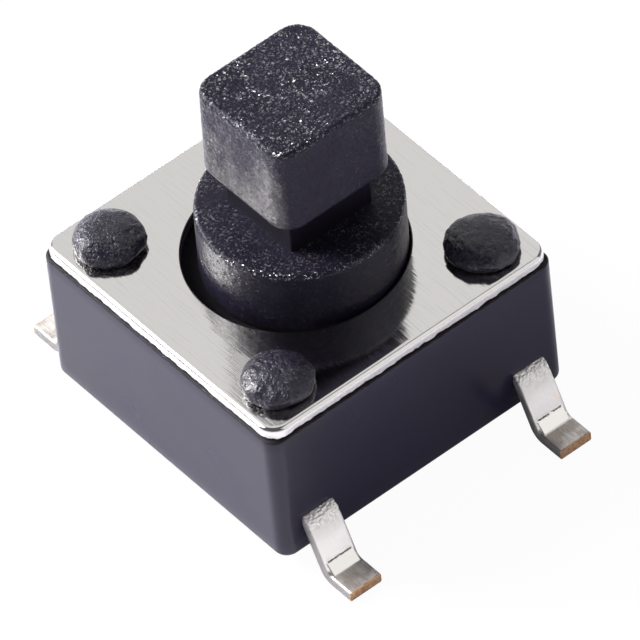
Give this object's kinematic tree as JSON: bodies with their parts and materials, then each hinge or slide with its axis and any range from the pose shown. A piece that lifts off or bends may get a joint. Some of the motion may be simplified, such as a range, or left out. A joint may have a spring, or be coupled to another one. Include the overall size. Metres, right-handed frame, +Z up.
{
  "type": "tactile push button switch",
  "caption": "Surface-mount tactile push button switch with a square-headed plunger, a staked metal cover and gull-wing feet for soldering.",
  "frame": {"origin": "middle of the footprint at board level, under the housing", "axes": "+Z up along the plunger's press axis, away from the board; +X towards one row of feet, along the legs; +Y along a row of feet"},
  "size_m": [0.0082, 0.006, 0.0071],
  "materials": {
    "housing_plastic": "black glass-filled nylon, fine moulded grain",
    "cover_metal": "brushed sheet, brush lines along X",
    "plunger_plastic": "black, spark-eroded texture",
    "dome_metal": "sprung stainless steel",
    "plated_terminal": "silver-plated, bare brown metal at the cut ends"
  },
  "bodies": {
    "base": {"housing": "housing_plastic", "cover_plate": "cover_metal", "snap_dome": "dome_metal", "centre_terminal": "plated_terminal", "rim_terminal": "plated_terminal"},
    "button": {"plunger": "plunger_plastic"}
  },
  "joints": [
    {"name": "press", "type": "slide", "parent": "base", "child": "button", "axis": [0, 0, -1], "range_m": [0, 0.00025], "stiffness_N_per_m": 6400, "deforming": ["snap_dome"]}
  ]
}
